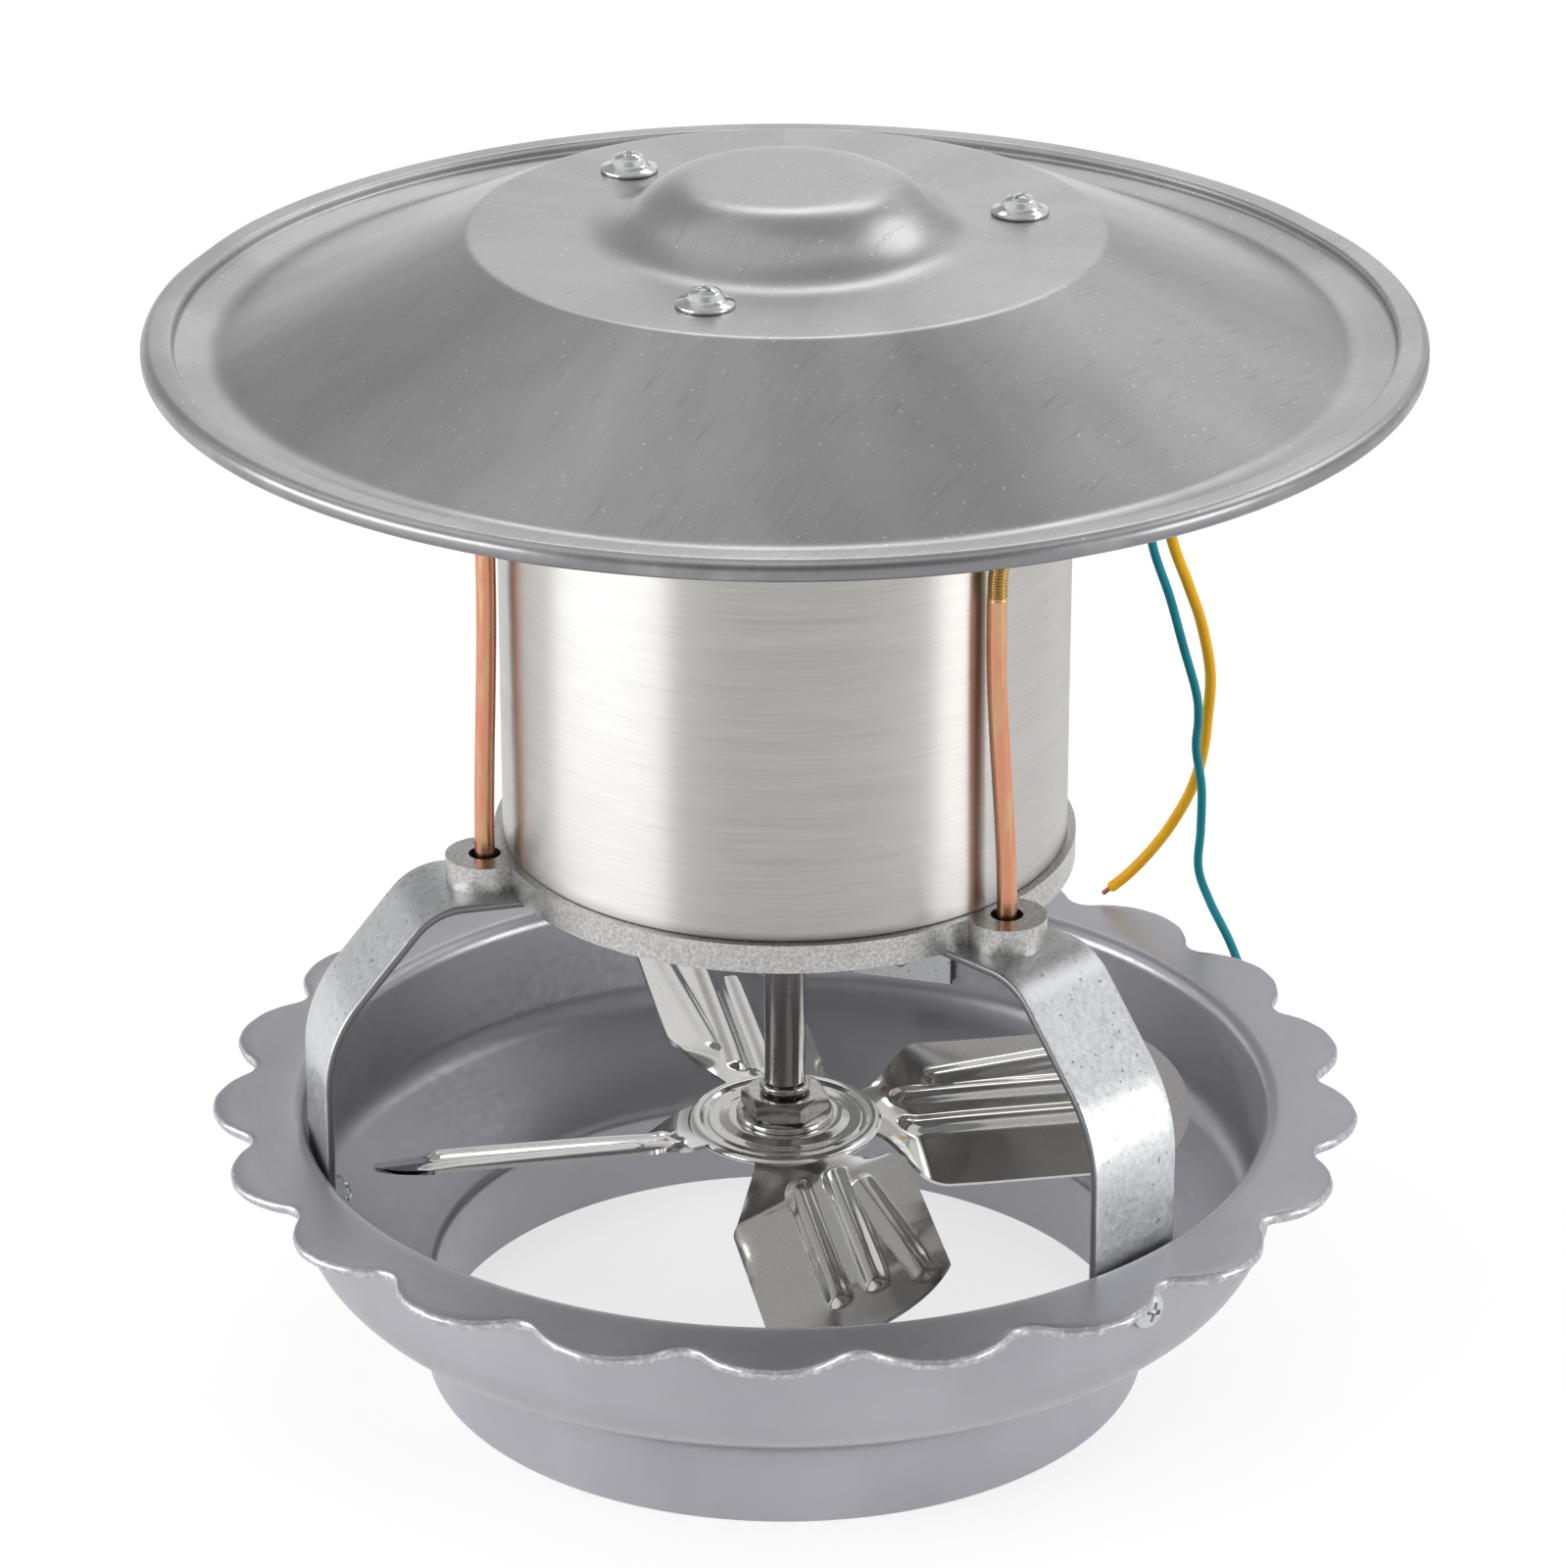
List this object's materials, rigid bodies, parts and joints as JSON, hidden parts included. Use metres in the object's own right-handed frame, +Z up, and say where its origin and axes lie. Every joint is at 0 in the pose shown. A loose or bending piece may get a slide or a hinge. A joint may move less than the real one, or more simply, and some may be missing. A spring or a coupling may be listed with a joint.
{
  "type": "chimney fan",
  "caption": "Flue-top extractor: a lobed bowl on a flue collar carries a canned motor on three bent straps, with an impeller in the bowl below and a pressed rain cap above.",
  "frame": {"origin": "centre of the flue collar's lower edge, on the shaft's axis", "axes": "+Z up along the shaft's axis, from the collar to the cap; +X to the right and -Y to the front in the picture's view"},
  "size_m": [0.3, 0.3, 0.306],
  "materials": {
    "bowl_casting": "satin grey paint on cast aluminium",
    "strap_aluminium": "mill-finish aluminium strip, slightly speckled",
    "bell_casting": "raw die-cast aluminium, grainy",
    "can_steel": "brushed stainless steel",
    "rod_steel": "coppery yellow-chromate plated steel",
    "zinc_steel": "bright zinc-plated steel",
    "cap_aluminium": "satin pressed aluminium with faint scratches",
    "screw_chrome": "bright plated steel",
    "core_steel": "laminated electrical steel",
    "winding_copper": "enamelled copper wire",
    "race_steel": "ground bearing steel",
    "shaft_steel": "turned and ground steel",
    "impeller_steel": "bright pressed stainless steel",
    "grommet_rubber": "matt black rubber",
    "lead_yellow_pvc": "smooth yellow PVC insulation",
    "lead_teal_pvc": "smooth teal PVC insulation"
  },
  "bodies": {
    "housing": {"base_bowl": "bowl_casting", "strap_left": "strap_aluminium", "strap_right": "strap_aluminium", "strap_rear": "strap_aluminium", "strap_screws": "zinc_steel", "strap_nuts": "zinc_steel", "lower_bell": "bell_casting", "motor_can": "can_steel", "upper_bell": "bell_casting", "tie_rods": "rod_steel", "tie_rod_nuts": "rod_steel", "cap_posts": "zinc_steel", "cap_cover": "cap_aluminium", "cap_screws": "screw_chrome", "stator_core": "core_steel", "stator_windings": "winding_copper", "bearing_outer_races": "race_steel", "lead_grommet": "grommet_rubber", "lead_yellow": "lead_yellow_pvc", "lead_teal": "lead_teal_pvc"},
    "rotor": {"motor_shaft": "shaft_steel", "rotor_core": "core_steel", "bearing_inner_races": "race_steel", "bearing_balls": "race_steel", "shaft_keeper": "zinc_steel", "impeller": "impeller_steel", "hub_washers": "zinc_steel", "hub_nuts": "zinc_steel"}
  },
  "joints": [
    {"name": "rotor_spin", "type": "hinge", "parent": "housing", "child": "rotor", "pos_m": [0, 0, 0.137], "axis": [0, 0, 1], "continuous": true}
  ]
}
